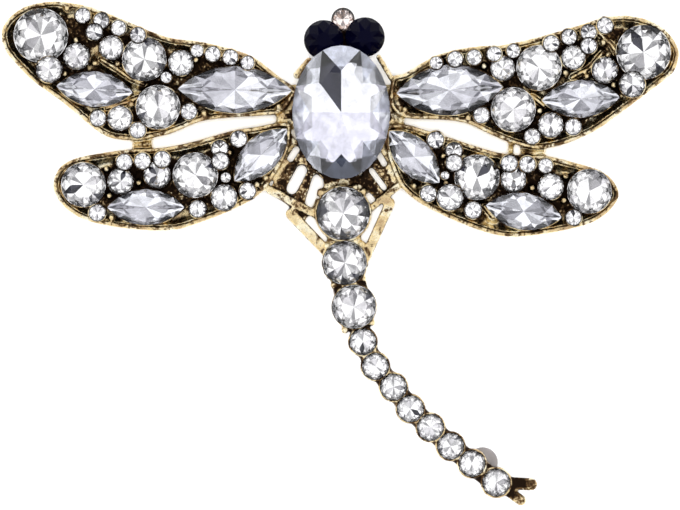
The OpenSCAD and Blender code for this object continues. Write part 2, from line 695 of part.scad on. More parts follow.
module pierced_plate(outline, opening) {
    translate([0, 0, back_z])
        linear_extrude(plate_t)
            difference() {
                polygon([for (p = outline) on_body(p)]);
                polygon([for (p = opening) on_body(p)]);
            }
}

module lattice() {
    difference() {
        union() {
            pierced_plate(LEFT_PLATE, LEFT_OPENING);
            pierced_plate(RIGHT_PLATE, RIGHT_OPENING);
        }
        for (row = SLOTS)
            bar(on_body(row[0]), on_body(row[1]), row[2], 0, back_z + BEYOND);
    }
    for (row = LEGS)
        bar(on_body(row[0]), tail_at(row[1]) + tail_r(row[1]) * towards(row[2]), row[3], back_z,
            back_z + leg_t);
}

module tail_cups() {
    for (i = [0:LAST])
        post(tail_at(i), TAIL[i][0] + 2 * TAIL[i][3], tail_back(i), tail_edge(i) + cup_lip_h);
    for (i = [1:LAST])
        bar(tail_at(i - 1), tail_at(i), LINK_SHARE * TAIL[i][0], tail_back(i - 1),
            tail_edge(i) - girdle_t);
    for (row = CUP_PRONGS)
        grain(tail_at(row[0]) + (tail_r(row[0]) + row[2] / 2) * towards(row[1]), row[2],
            tail_back(row[0]), tail_edge(row[0]) + grain_h);
}

module tail_tip() {
    low = tail_back(LAST);
    bar(tail_at(LAST),
        tail_at(LAST) + (long_prong_l - long_prong_w / 2) * towards(LONG_PRONG_TURN),
        long_prong_w, low, low + tip_t);
    bar(tail_at(LAST),
        tail_at(LAST) + (short_prong_l - short_prong_w / 2) * towards(SHORT_PRONG_TURN),
        short_prong_w, low, low + tip_t);
}

module round_seat(at, d, low) {
    post(at, d + 2 * seat_gap, low, low + BEYOND);
}

module wing_seats(wing) {
    for (row = wing[ROUNDS])
        round_seat(on_wing(wing, row), stone_d(wing, row), floor_z);
    for (row = wing[SMALL])
        round_seat(on_wing(wing, row), stone_d(wing, row), small_seat_z(wing, row));
    for (row = wing[NAVETTES])
        raise(on_wing(wing, row), floor_z)
            rotate(wing[SIDE] * row[4])
                linear_extrude(BEYOND)
                    polygon(stone_outline([row[2], row[3]] / 100 * wing[LENGTH]
                        + 2 * [seat_gap, seat_gap], true));
}

module seats() {
    for (wing = WINGS)
        wing_seats(wing);
    for (i = [0:LAST])
        round_seat(tail_at(i), TAIL[i][0], tail_back(i) + cup_floor_t);
    round_seat(left_eye_at, eye_d, eye_floor_z);
    round_seat(right_eye_at, eye_d, eye_floor_z);
    round_seat(head_stone_at, head_stone_d, head_floor_z);
    oval_pocket();
}

module frame() {
    color(METAL)
        placed()
            difference() {
                union() {
                    for (wing = WINGS)
                        wing_tray(wing);
                    struts();
                    body_cup();
                    head_plates();
                    lattice();
                    tail_cups();
                    tail_tip();
                }
                seats();
            }
}

// The plain pin finding on the back
module pin_back() {
    top = back_z - back_gap;
    color(PALE_METAL)
        placed()
            translate([pin_at.x, pin_at.y, 0]) {
                translate([-pin_bar_l / 2, -pin_bar_w / 2, top - pin_bar_t])
                    cube([pin_bar_l, pin_bar_w, pin_bar_t]);
                translate([-pin_bar_l / 2, -pin_bar_w / 2, 0])
                    cube([hinge_l, pin_bar_w, top]);
                translate([pin_bar_l / 2 - catch_l, -pin_bar_w / 2, 0])
                    cube([catch_l, pin_bar_w, top]);
                translate([-pin_bar_l / 2 + hinge_l / 2, 0, pin_wire_h])
                    rotate([0, 90, 0])
                        cylinder(h = pin_bar_l - hinge_l / 2 - catch_l / 2, d = pin_wire_d);
            }
}

// The smooth grey pad that shows beside the tail
module tail_pad() {
    color(GREY)
        placed()
            post(pad_at, pad_d, 0, tail_back(LAST) - back_gap);
}

frame();
pin_back();
tail_pad();
oval_stone();
eye(left_eye_at);  // eye_left
eye(right_eye_at);  // eye_right
head_stone();
for (i = [0:LAST])
    tail_stone(i);
for (wing = WINGS, i = [0:len(wing[ROUNDS]) - 1])
    large_stone(wing, i);
for (wing = WINGS, i = [0:len(NAVETTE_NAMES) - 1])
    pointed_stone(wing, i);
for (wing = WINGS)
    small_stones(wing);
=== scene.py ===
# The dragonfly brooch on a pale table: cast antique metal, foil-backed glass stones and soft light.
import math
import random

import bmesh
import bpy
import numpy as np
from mathutils import Matrix, Vector, noise
from mathutils.bvhtree import BVHTree
from mathutils.kdtree import KDTree

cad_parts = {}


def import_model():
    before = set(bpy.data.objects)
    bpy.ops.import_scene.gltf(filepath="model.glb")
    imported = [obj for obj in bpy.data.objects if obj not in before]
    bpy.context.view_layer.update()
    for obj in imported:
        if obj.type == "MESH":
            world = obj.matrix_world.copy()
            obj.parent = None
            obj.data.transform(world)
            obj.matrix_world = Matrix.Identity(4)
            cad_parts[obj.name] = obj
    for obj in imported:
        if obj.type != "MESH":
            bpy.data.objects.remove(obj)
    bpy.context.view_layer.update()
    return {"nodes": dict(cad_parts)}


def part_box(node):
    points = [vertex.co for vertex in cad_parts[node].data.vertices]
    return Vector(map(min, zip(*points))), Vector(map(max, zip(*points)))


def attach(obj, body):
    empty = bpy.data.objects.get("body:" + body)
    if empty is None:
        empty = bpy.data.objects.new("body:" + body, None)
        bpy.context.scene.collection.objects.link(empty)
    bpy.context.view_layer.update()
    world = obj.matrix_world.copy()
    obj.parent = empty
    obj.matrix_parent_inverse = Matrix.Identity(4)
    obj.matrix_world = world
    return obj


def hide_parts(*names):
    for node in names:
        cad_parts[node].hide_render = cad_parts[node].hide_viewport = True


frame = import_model()

# Shapes are worked out in millimetres and turned into metres at the end
MM = 0.001
SEED = 7
BODY = "root"


# Small helpers

def node_points(node):
    """Every vertex of a CAD node, in millimetres."""
    return np.array([v.co for v in frame["nodes"][node].data.vertices]) / MM


def towards(angle):
    return np.array([math.cos(angle), math.sin(angle)])


def finish_piece(bm, name, materials, replaced=(), smooth=False):
    """Turns a bmesh in millimetres into a piece of the brooch."""
    mesh = bpy.data.meshes.new(name)
    bmesh.ops.scale(bm, vec=(MM, MM, MM), verts=bm.verts)
    bmesh.ops.recalc_face_normals(bm, faces=bm.faces)
    for face in bm.faces:
        face.smooth = smooth
    bm.to_mesh(mesh)
    bm.free()
    for material in materials:
        mesh.materials.append(material)
    piece = bpy.data.objects.new(name, mesh)
    bpy.context.scene.collection.objects.link(piece)
    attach(piece, BODY)
    if replaced:
        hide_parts(*replaced)
    return piece


# Materials

class Nodes:
    """A short way to write a node tree."""

    def __init__(self, name):
        self.material = bpy.data.materials.new(name)
        self.material.use_nodes = True
        self.tree = self.material.node_tree
        self.tree.nodes.clear()
        self.output = self.tree.nodes.new("ShaderNodeOutputMaterial")

    def add(self, kind, inputs=None, **settings):
        node = self.tree.nodes.new("ShaderNode" + kind)
        for key, value in settings.items():
            setattr(node, key, value)
        for key, value in (inputs or {}).items():
            if isinstance(value, bpy.types.NodeSocket):
                self.tree.links.new(value, node.inputs[key])
            else:
                node.inputs[key].default_value = value
        return node

    def noise(self, scale, detail=3.0, roughness=0.55, distortion=0.0):
        place = self.add("TexCoord").outputs["Object"]
        return self.add("TexNoise", {
            "Vector": place, "Scale": scale, "Detail": detail,
            "Roughness": roughness, "Distortion": distortion
        }).outputs["Fac"]

    def ramp(self, value, stops):
        node = self.add("ValToRGB", {"Fac": value})
        elements = node.color_ramp.elements
        while len(elements) < len(stops):
            elements.new(0.5)
        for element, (position, colour) in zip(elements, stops):
            element.position = position
            element.color = (*colour, 1)
        return node.outputs["Color"]

    def level(self, value, low, high):
        """Turns a value from low to high into one from 0 to 1."""
        return self.add("MapRange", {"Value": value, "From Min": low, "From Max": high}).outputs["Result"]

    def join(self, operation, a, b):
        return self.add("Math", {0: a, 1: b}, operation=operation, use_clamp=True).outputs[0]

    def mix(self, factor, colour, other):
        """From a colour socket to another colour as the factor rises."""
        return self.add("Mix", {"Factor": factor, 6: colour, 7: (*other, 1)}, data_type="RGBA").outputs[2]

    def close(self, shader):
        self.tree.links.new(shader, self.output.inputs["Surface"])
        return self.material


def antique_metal(name, golds, dark, wear):
    """Gold-coloured casting with dark patina, and painted shade beside the stones, where its attribute
    "patina" is high.
    """
    n = Nodes(name)
    stored = n.add("Attribute", attribute_name="patina_and_painted_shade").outputs["Fac"]
    blotches = n.noise(1000, 5, 0.7, 0.8)
    specks = n.noise(4800, 3, 0.6)
    mottled = n.join("ADD", n.join("MULTIPLY", blotches, 0.75), n.join("MULTIPLY", specks, 0.25))
    raw = n.join("ADD", n.join("MULTIPLY", n.level(mottled, 0.35, 0.65), wear), stored)
    gold = n.ramp(n.noise(600, 3, 0.6), golds)
    browned = n.mix(n.level(raw, 0.4, 0.58), gold, dark[0])
    colour = n.mix(n.level(raw, 0.66, 0.95), browned, dark[1])
    rough = n.add("MapRange", {
        "Value": n.join("ADD", raw, n.join("MULTIPLY", specks, 0.3)),
        "From Min": 0.2, "From Max": 1.2, "To Min": 0.2, "To Max": 0.55
    }).outputs["Result"]
    bump = n.add("Bump", {"Strength": 0.75, "Distance": 0.00012, "Height": n.noise(2600, 4, 0.7)})
    shader = n.add("BsdfPrincipled", {
        "Base Color": colour, "Metallic": 1.0, "Roughness": rough, "Normal": bump.outputs["Normal"]
    })
    return n.close(shader.outputs["BSDF"])


def crystal(name, tint):
    """Clear glass with a faint haze that varies over the stone."""
    n = Nodes(name)
    haze = n.level(n.noise(700, 2), 0.2, 0.9)
    rough = n.add("MapRange", {"Value": haze, "To Min": 0.0, "To Max": 0.015}).outputs["Result"]
    shader = n.add("BsdfPrincipled", {
        "Base Color": (*tint, 1), "Metallic": 0.0, "Roughness": rough, "IOR": 1.56,
        "Transmission Weight": 1.0
    })
    return n.close(shader.outputs["BSDF"])


def foil(name, colour, roughness=0.1, metallic=1.0, worn=0.8):
    """The silvered back of a glass stone, unevenly worn, in one tone of a lit and shaded set: the bright
    tones are painted highlight and the dark ones painted shade, for what each facet reflects.
    """
    n = Nodes(name)
    tone = n.ramp(n.noise(1000, 2), [(0.35, tuple(worn * c for c in colour)), (0.65, colour)])
    shader = n.add("BsdfPrincipled", {"Base Color": tone, "Metallic": metallic, "Roughness": roughness})
    return n.close(shader.outputs["BSDF"])


def black_glass():
    n = Nodes("black_glass")
    tone = n.ramp(n.noise(500, 2), [(0.3, (0.0004, 0.0004, 0.004)), (0.7, (0.001, 0.001, 0.007))])
    shader = n.add("BsdfPrincipled", {
        "Base Color": tone, "Roughness": 0.07, "IOR": 1.5, "Specular IOR Level": 0.035
    })
    return n.close(shader.outputs["BSDF"])


def grey_pad():
    n = Nodes("grey_pad")
    tone = n.ramp(n.noise(600, 3), [(0.3, (0.15, 0.14, 0.135)), (0.7, (0.21, 0.19, 0.185))])
    bump = n.add("Bump", {"Strength": 0.2, "Distance": 0.00004, "Height": n.noise(2500, 3)})
    shader = n.add("BsdfPrincipled", {
        "Base Color": tone, "Roughness": 0.42, "Normal": bump.outputs["Normal"]
    })
    return n.close(shader.outputs["BSDF"])


def table_top():
    n = Nodes("table_top")
    tone = n.ramp(n.noise(30, 2), [(0.3, (0.86, 0.86, 0.86)), (0.7, (0.88, 0.88, 0.88))])
    shader = n.add("BsdfPrincipled", {"Base Color": tone, "Roughness": 0.7})
    return n.close(shader.outputs["BSDF"])


# Dark colours of the casting, used for its patina and for the painted shade beside the stones
PATINA_AND_PAINTED_SHADE = [(0.14, 0.08, 0.036), (0.018, 0.01, 0.006)]
RUBBED_GOLDS = [(0.34, (0.56, 0.4, 0.22)), (0.48, (0.84, 0.67, 0.37)), (0.64, (0.98, 0.9, 0.66))]
PALE_GOLDS = [(0.35, (0.72, 0.6, 0.36)), (0.62, (0.86, 0.76, 0.52))]
GOLD = antique_metal("antique_gold", RUBBED_GOLDS, PATINA_AND_PAINTED_SHADE, 0.9)
PIN_GOLD = antique_metal("pin_gold", PALE_GOLDS, PATINA_AND_PAINTED_SHADE, 0.3)
CLEAR = crystal("clear_crystal", (1.0, 1.0, 1.0))
LILAC = crystal("lilac_crystal", (0.93, 0.945, 1.0))
# One silvered foil in lit and shaded copies: bright foil for painted highlight, pale foil for a paler
# painted reflection, grey and slate foil for painted shade
PAINTED_FOIL_TONES = [
    foil("foil_painted_bright_reflection", (0.96, 0.955, 0.955)),
    foil("foil_painted_pale_reflection", (0.66, 0.65, 0.67)),
    foil("foil_painted_grey_shade", (0.35, 0.345, 0.36)),
    foil("foil_painted_dark_shade", (0.04, 0.04, 0.055))
]
# Foil of the oval stone: behind its long facets the lit and shaded copies with a lavender one as the pale
# tone, and behind its short facets bluer, duller copies; all of them painted highlight and painted shade
OVAL_PAINTED_FOIL_TONES = [PAINTED_FOIL_TONES[0], foil("lavender_foil_painted_pale_reflection", (0.8, 0.785, 0.85)), PAINTED_FOIL_TONES[2], PAINTED_FOIL_TONES[3]]
DULL_PAINTED_FOIL_TONES = [
    foil("dull_foil_painted_bright_reflection", (0.96, 0.97, 0.99), 0.12, 0.8, 0.75),
    foil("dull_foil_painted_pale_reflection", (0.76, 0.78, 0.85), 0.12, 0.8, 0.7),
    foil("dull_foil_painted_grey_shade", (0.3, 0.31, 0.36), 0.12, 0.9, 0.6),
    foil("dull_foil_painted_dark_shade", (0.07, 0.08, 0.11), 0.12, 1.0, 0.6)
]
# Foil of the head stone, warm in tint: a pink copy for painted highlight and bronze copies for painted shade
BRONZE_PAINTED_FOIL_TONES = [foil("pink_foil_painted_bright_reflection", (0.9, 0.8, 0.76))] + 3 * [foil("bronze_foil_painted_shade", (0.5, 0.37, 0.31))]
BLACK = black_glass()
PAD = grey_pad()


# Stones, read from the CAD nodes

class Stone:
    """Place and size of one stone: middle and edge height, half length, half width, turn, heights."""

    def __init__(self, points, pointed):
        levels = sorted(set(np.round(points[:, 2], 3)), reverse=True)
        rings = [points[np.abs(points[:, 2] - z) < 0.002] for z in levels]
        widths = [np.ptp(ring[:, 0]) + np.ptp(ring[:, 1]) for ring in rings]
        widest = next(i for i, w in enumerate(widths) if w > max(widths) - 0.01)
        ring = rings[widest]
        self.edge_z = levels[widest]
        self.crown = levels[0] - self.edge_z
        self.depth = self.edge_z - levels[-1]
        self.pointed = pointed
        self.middle = (ring[:, :2].max(0) + ring[:, :2].min(0)) / 2
        self.turn = 0.0
        around = ring[:, :2] - self.middle
        if pointed:
            tip = around[np.argmax(np.linalg.norm(around, axis=1))]
            self.turn = math.atan2(tip[1], tip[0])
            along = towards(self.turn)
            across = towards(self.turn + math.pi / 2)
            self.half = (np.ptp(around @ along) / 2, np.ptp(around @ across) / 2)
        else:
            self.half = (np.ptp(ring[:, 0]) / 2, np.ptp(ring[:, 1]) / 2)

    def outline(self, angle):
        """A point of the stone's edge, seen from its middle."""
        length, width = self.half
        if not self.pointed:
            return np.array([length * math.cos(angle), width * math.sin(angle)])
        radius = (length ** 2 + width ** 2) / (2 * width)
        x = length * math.cos(angle)
        y = math.sqrt(radius ** 2 - x ** 2) - radius + width
        return np.array([x, math.copysign(y, math.sin(angle))])

    def place(self, angle, share=1.0, out=0.0):
        """A point at a share of the stone's edge and some way out from it."""
        along = self.outline(angle + 0.01) - self.outline(angle - 0.01)
        across = np.array([along[1], -along[0]]) / np.linalg.norm(along)
        x, y = Matrix.Rotation(self.turn, 2) @ Vector(share * self.outline(angle) + out * across)
        return self.middle[0] + x, self.middle[1] + y


def islands(node):
    """The vertices of each loose solid of a CAD node, in millimetres."""
    bm = bmesh.new()
    bm.from_mesh(frame["nodes"][node].data)
    bmesh.ops.remove_doubles(bm, verts=bm.verts, dist=1e-7)
    left = set(bm.verts)
    found = []
    while left:
        group = [left.pop()]
        for vert in group:
            for edge in vert.link_edges:
                other = edge.other_vert(vert)
                if other in left:
                    left.remove(other)
                    group.append(other)
        found.append(np.array([v.co for v in group]) / MM)
    bm.free()
    return sorted(found, key=lambda points: tuple(points.mean(0)))


# Faces of a stone: clear glass above, and foil behind in tones from bright to slate, painted highlight
# to painted shade, first that of the long facets and then that of the short ones
GLASS, BRIGHT, PALE, GREY, SLATE = range(5)
SHORT = 4


def settle(vert, a, b, c):
    """Lifts or lowers a corner onto the plane through three others."""
    normal = (b.co - a.co).cross(c.co - a.co)
    vert.co.z = a.co.z - (normal.x * (vert.co.x - a.co.x) + normal.y * (vert.co.y - a.co.y)) / normal.z


def add_stone(bm, stone, cut, mains, halves, spin=0.0):
    """A cut stone. mains and halves name the foil tone, painted highlight to painted shade, behind its long
    and its short back facets.
    """
    n = cut["sides"]

    def ring(share, count, phase, z):
        verts = []
        for i in range(count):
            angle = (i + phase) * 2 * math.pi / count + spin
            verts.append(bm.verts.new((*stone.place(angle, share, cut["grow"]), stone.edge_z + z)))
        return verts

    def face(verts, material):
        bm.faces.new(verts).material_index = material

    girdle = cut["girdle"]
    width = min(stone.half)
    knee_z = girdle + width * (1 - cut["knee"]) * math.tan(math.radians(cut["outer_slope"]))
    tip_z = knee_z + width * cut["knee"] * math.tan(math.radians(cut["inner_slope"]))
    fit = min(1, stone.depth / tip_z)
    crown = stone.crown * cut["crown"]
    rise = stone.crown * cut["rise"]
    table = ring(cut["table"], n, 0, crown)
    kite = ring(cut["kite"], n, 0.5, rise + (crown - rise) * cut["kite_z"])
    edge = ring(1, 2 * n, 0, rise)
    edge_arc = ring(1, 2 * n, 0.5, rise)
    under = ring(1, 2 * n, 0, -girdle)
    under_arc = ring(1, 2 * n, 0.5, -girdle)
    knee = ring(cut["knee"], n, 0.5, -knee_z * fit)
    tip = bm.verts.new((stone.middle[0], stone.middle[1], stone.edge_z - tip_z * fit))
    face(table, GLASS)
    for i in range(n):
        face([table[i], kite[i], table[(i + 1) % n]], GLASS)
        face([table[i], kite[i - 1], edge[2 * i], kite[i]], GLASS)
        face([under[2 * i], knee[i - 1], tip, knee[i]], mains[i])
        for j in (2 * i, 2 * i + 1):
            k = (j + 1) % (2 * n)
            settle(edge_arc[j], kite[i], edge[j], edge[k])
            settle(under_arc[j], knee[i], under[j], under[k])
            face([kite[i], edge[j], edge_arc[j], edge[k]], GLASS)
            face([knee[i], under[j], under_arc[j], under[k]], halves[j] + SHORT)
            # The girdle band takes the bright foil, a painted highlight
            face([edge[j], under[j], under_arc[j], edge_arc[j]], BRIGHT)
            face([edge_arc[j], under_arc[j], under[k], edge[k]], BRIGHT)


# Cuts: main facets, then shares of the outline and of the crown's height, lengths in millimetres
# and slopes in degrees. The crown starts at the rise
BRILLIANT = {
    "sides": 8, "table": 0.6, "kite": 0.82, "kite_z": 0.55, "crown": 0.7, "rise": 0.0, "girdle": 0.08,
    "grow": 0.03, "knee": 0.5, "outer_slope": 11, "inner_slope": 16
}
NAVETTE_CUT = {**BRILLIANT, "crown": 0.6, "knee": 0.6, "outer_slope": 6, "inner_slope": 14}
OVAL_CUT = {
    "sides": 8, "table": 0.64, "kite": 0.83, "kite_z": 0.45, "crown": 0.85, "rise": 0.33, "girdle": 0.22,
    "grow": 0.03, "knee": 0.6, "outer_slope": 8, "inner_slope": 15
}
EYE_CUT = {
    "sides": 8, "table": 0.36, "kite": 0.8, "kite_z": 0.62, "crown": 1.0, "rise": 0.0, "girdle": 0.1,
    "grow": 0.0, "knee": 0.6, "outer_slope": 10, "inner_slope": 10
}
# How many facets have bright, pale, grey and slate foil, painted highlight to painted shade: long and
# short facets of round stones, then of pointed ones
ROUND_MIX = [[8, 2, 0.5, 0.5], [11, 1, 0.5, 0.6]]
POINTED_MIX = [[4, 4, 0.5, 0], [6, 3, 0.3, 0]]
# Stones with their own pattern of painted highlight and painted shade in the foil: turn in degrees,
# then long and short facets, anticlockwise from the right side
CHOSEN = {
    "oval_stone": (22.5, [BRIGHT, BRIGHT, SLATE, BRIGHT, PALE, PALE, PALE, PALE], [
        BRIGHT, PALE, PALE, PALE, BRIGHT, BRIGHT, PALE, BRIGHT,
        PALE, BRIGHT, SLATE, SLATE, GREY, PALE, BRIGHT, PALE
    ]),
    "tail_stone_1": (14, [BRIGHT, PALE, PALE, BRIGHT, BRIGHT, BRIGHT, BRIGHT, BRIGHT], [
        SLATE, GREY, BRIGHT, PALE, BRIGHT, BRIGHT, SLATE, SLATE,
        BRIGHT, BRIGHT, BRIGHT, SLATE, BRIGHT, BRIGHT, BRIGHT, SLATE
    ]),
    "tail_stone_2": (10, [BRIGHT, BRIGHT, PALE, GREY, BRIGHT, PALE, BRIGHT, BRIGHT], [
        BRIGHT, BRIGHT, BRIGHT, PALE, GREY, BRIGHT, BRIGHT, BRIGHT,
        BRIGHT, SLATE, BRIGHT, SLATE, BRIGHT, SLATE, BRIGHT, BRIGHT
    ])
}

stones = []
stone_pieces = []


def stone_piece(node, cut, glass, mix=None, backs=PAINTED_FOIL_TONES + PAINTED_FOIL_TONES, pointed=False, spun=False):
    """Replaces a CAD node of one or many stones."""
    bm = bmesh.new()
    for points in islands(node):
        stone = Stone(points, pointed)
        if node in CHOSEN:
            turn, mains, halves = CHOSEN[node]
            add_stone(bm, stone, cut, mains, halves, math.radians(turn))
        else:
            spin = random.uniform(0, math.pi) if spun else 0.0
            mains, halves = (random.choices(range(BRIGHT, SLATE + 1), m, k=16) for m in mix)
            add_stone(bm, stone, cut, mains, halves, spin)
        stone.in_wing = node.startswith(("upper", "lower"))
        stones.append(stone)
    stone_pieces.append(finish_piece(bm, node + "_cut", [glass] + backs, [node]))


random.seed(SEED)
for node in sorted(frame["nodes"]):
    if node.startswith("eye"):
        stone_piece(node, EYE_CUT, BLACK, ROUND_MIX, 8 * [BLACK])
    elif node == "oval_stone":
        stone_piece(node, OVAL_CUT, LILAC, backs=OVAL_PAINTED_FOIL_TONES + DULL_PAINTED_FOIL_TONES)
    elif node == "head_stone":
        stone_piece(node, BRILLIANT, CLEAR, ROUND_MIX, BRONZE_PAINTED_FOIL_TONES + BRONZE_PAINTED_FOIL_TONES)
    elif node.endswith("navette"):
        stone_piece(node, NAVETTE_CUT, LILAC, POINTED_MIX, pointed=True)
    elif node not in ("frame", "pin_back", "tail_pad"):
        stone_piece(node, BRILLIANT, CLEAR, ROUND_MIX, spun=True)


# The casting: the CAD frame with softened edges, a cast skin, patina in its hollows and painted shade beside
# the stones

VOXEL = 0.13
SOFTEN = 4
HOLLOW_REACH = 1.6
TRIANGLES = 190000
# Depth of the cast skin on the rims and legs, and on the wing floors and plates
FINE_SKIN = 0.04
COARSE_SKIN = 0.15
# Heights of the plates, the wing floors and the flat tops of the wing rims
BACK_Z = 3.6
FLOOR_Z = 4.1
PLATE_Z = 4.6
RIM_TOP = (5.08, 5.4)
# Width and height of the sloping ledge inside the wing rims
LEDGE = 1.0
LEDGE_RISE = 0.85
# Where the tail begins, and the upper ends of the shins
TAIL_Y = -3.0
SHIN_Y = 4.4
# Low ridges between the stones: points from end to end
RIDGE_WIDTH = 0.36
RIDGE_Z = 5.15
RIDGES = [
    [(-25.5, 20.7), (-23.9, 19.7), (-22.3, 18.6), (-20.7, 17.9)],
    [(-24.9, 15.4), (-23.1, 15.9), (-21.2, 16.6)],
    [(27.3, 23.5), (28.8, 22.1), (29.7, 20.5), (30, 19.5)],
    [(24.4, 18.6), (26.5, 19.7), (27.9, 21.4)],
    [(20.2, 16.8), (21.7, 15.6)],
    [(15.2, 5.1), (16.3, 3.8)]
]


def evaluated(piece):
    """The piece's mesh with its modifiers in place."""
    graph = bpy.context.evaluated_depsgraph_get()
    mesh = bpy.data.meshes.new_from_object(piece.evaluated_get(graph))
    piece.modifiers.clear()
    piece.data = mesh
    return mesh


def add_ridge(bm, points):
    """A low wall with a rounded top along a row of points."""
    section = [
        (-0.6, FLOOR_Z - 0.2), (-0.5, RIDGE_Z - 0.3), (-0.25, RIDGE_Z), (0.25, RIDGE_Z),
        (0.5, RIDGE_Z - 0.3), (0.6, FLOOR_Z - 0.2)
    ]
    points = [np.array(point) for point in points]
    rings = []
    for i, point in enumerate(points):
        along = points[min(i + 1, len(points) - 1)] - points[max(i - 1, 0)]
        across = np.array([along[1], -along[0]]) / np.linalg.norm(along) * RIDGE_WIDTH
        rings.append([bm.verts.new((*(point + share * across), z)) for share, z in section])
    for start, end in zip(rings, rings[1:]):
        for i in range(len(section)):
            bm.faces.new([start[i - 1], start[i], end[i], end[i - 1]])
    bm.faces.new(rings[0])
    bm.faces.new(rings[-1][::-1])


def cast_copy(node):
    """A copy of a CAD node in millimetres with softened edges."""
    bm = bmesh.new()
    bm.from_mesh(frame["nodes"][node].data)
    bmesh.ops.remove_doubles(bm, verts=bm.verts, dist=1e-7)
    bmesh.ops.scale(bm, vec=(1 / MM,) * 3, verts=bm.verts)
    for points in RIDGES:
        add_ridge(bm, points)
    bmesh.ops.recalc_face_normals(bm, faces=bm.faces)
    mesh = bpy.data.meshes.new("casting")
    bm.to_mesh(mesh)
    bm.free()
    piece = bpy.data.objects.new("casting", mesh)
    bpy.context.scene.collection.objects.link(piece)
    remesh = piece.modifiers.new("remesh", "REMESH")
    remesh.mode = "VOXEL"
    remesh.voxel_size = VOXEL
    soft = piece.modifiers.new("soft", "SMOOTH")
    soft.factor = 0.5
    soft.iterations = SOFTEN
    evaluated(piece)
    return piece


def slide(value, low, high):
    """From 0 at low to 1 at high, with soft ends."""
    t = np.clip((value - low) / (high - low), 0, 1)
    return t * t * (3 - 2 * t)


def places_and_normals(mesh):
    return np.array([v.co for v in mesh.vertices]), np.array([v.normal for v in mesh.vertices])


def rim_tree(mesh):
    """The tops of the wing rims, for measuring flat distances from them."""
    places, normals = places_and_normals(mesh)
    on_rim = (places[:, 2] > RIM_TOP[0]) & (places[:, 2] < RIM_TOP[1]) & (normals[:, 2] > 0.85)
    on_rim &= places[:, 1] > TAIL_Y
    for stone in stones:
        away = np.linalg.norm(places[:, :2] - stone.middle, axis=1)
        on_rim &= away > min(stone.half)
    tree = KDTree(int(on_rim.sum()))
    for i, place in enumerate(places[on_rim]):
        tree.insert((place[0], place[1], 0), i)
    tree.balance()
    return tree


def rim_distance(tree, places):
    return np.array([tree.find((x, y, 0))[2] for x, y, _ in places])


def ledge_rise(to_rim):
    """Height of the ledge above the wing floor at a distance from the rim."""
    return LEDGE_RISE * (1 - slide(to_rim, 0.1, LEDGE))


def raise_ledges(mesh):
    """Slopes the wing floors up to the rims."""
    places, normals = places_and_normals(mesh)
    on_floor = slide(places[:, 2], PLATE_Z - 0.1, FLOOR_Z + 0.1) * slide(places[:, 2], BACK_Z, FLOOR_Z - 0.1)
    on_floor *= slide(normals[:, 2], 0.3, 0.8) * slide(places[:, 1], TAIL_Y, TAIL_Y + 1)
    places[:, 2] += on_floor * ledge_rise(rim_distance(rim_tree(mesh), places))
    mesh.vertices.foreach_set("co", places.ravel())
    mesh.update()


def sink_skin(mesh):
    """Presses the cast skin inwards by uneven noise, deepest on the wing floors and plates."""
    places, normals = places_and_normals(mesh)
    coarse = slide(places[:, 2], PLATE_Z + 0.25, PLATE_Z + 0.05) * slide(places[:, 1], TAIL_Y - 2, TAIL_Y)
    front = slide(places[:, 2], BACK_Z - 0.3, BACK_Z)
    depth = (FINE_SKIN + (COARSE_SKIN - FINE_SKIN) * coarse) * front
    for vert, normal, most in zip(mesh.vertices, normals, depth):
        rough = noise.fractal(vert.co * 1.6, 0.6, 2.1, 3, noise_basis="PERLIN_ORIGINAL")
        vert.co -= Vector(normal) * most * min(1, max(0, 0.5 + rough))
    mesh.update()


def thin_out(piece):
    count = sum(len(p.vertices) - 2 for p in piece.data.polygons)
    if count > TRIANGLES:
        thin = piece.modifiers.new("thin", "DECIMATE")
        thin.ratio = TRIANGLES / count
        thin.use_collapse_triangulate = True
        evaluated(piece)


def hemisphere(count):
    """Directions spread over the upper half, more of them near the top."""
    found = []
    for i in range(count):
        z = math.sqrt(1 - (i + 0.5) / count)
        angle = i * math.pi * (3 - math.sqrt(5))
        flat = math.sqrt(1 - z * z)
        found.append(Vector((flat * math.cos(angle), flat * math.sin(angle), z)))
    return found


def hollows(mesh):
    """How shut in each vertex is, from 0 in the open to 1."""
    verts = [v.co.copy() for v in mesh.vertices]
    polygons = [tuple(p.vertices) for p in mesh.polygons]
    for other in stone_pieces:
        start = len(verts)
        verts += [v.co / MM for v in other.data.vertices]
        polygons += [tuple(start + i for i in p.vertices) for p in other.data.polygons]
    tree = BVHTree.FromPolygons(verts, polygons)
    directions = hemisphere(14)
    values = np.zeros(len(mesh.vertices), np.float32)
    for i, vert in enumerate(mesh.vertices):
        turn = vert.normal.to_track_quat("Z", "Y")
        start = vert.co + vert.normal * 0.03
        hits = sum(tree.ray_cast(start, turn @ d, HOLLOW_REACH)[0] is not None for d in directions)
        values[i] = hits / len(directions)
    return values


def bulges(mesh):
    """How far each vertex stands out from its neighbours, as a slope. Edges are above 0."""
    count = len(mesh.vertices)
    places, normals = places_and_normals(mesh)
    pairs = np.array([e.vertices for e in mesh.edges])
    slopes = np.zeros(count)
    ways = np.zeros(count)
    for a, b in (pairs.T, pairs[:, ::-1].T):
        step = places[a] - places[b]
        slope = np.einsum("ij,ij->i", step, normals[a]) / np.linalg.norm(step, axis=1)
        np.add.at(slopes, a, slope)
        np.add.at(ways, a, 1)
    return slopes / ways


def beside_stones(places):
    """How far each vertex lies from the nearest stone, and how far below that stone's edge."""
    gaps = np.array([np.linalg.norm(places[:, :2] - s.middle, axis=1) - min(s.half) for s in stones])
    edges = np.array([stone.edge_z for stone in stones])
    return gaps.min(0), edges[gaps.argmin(0)] - places[:, 2]


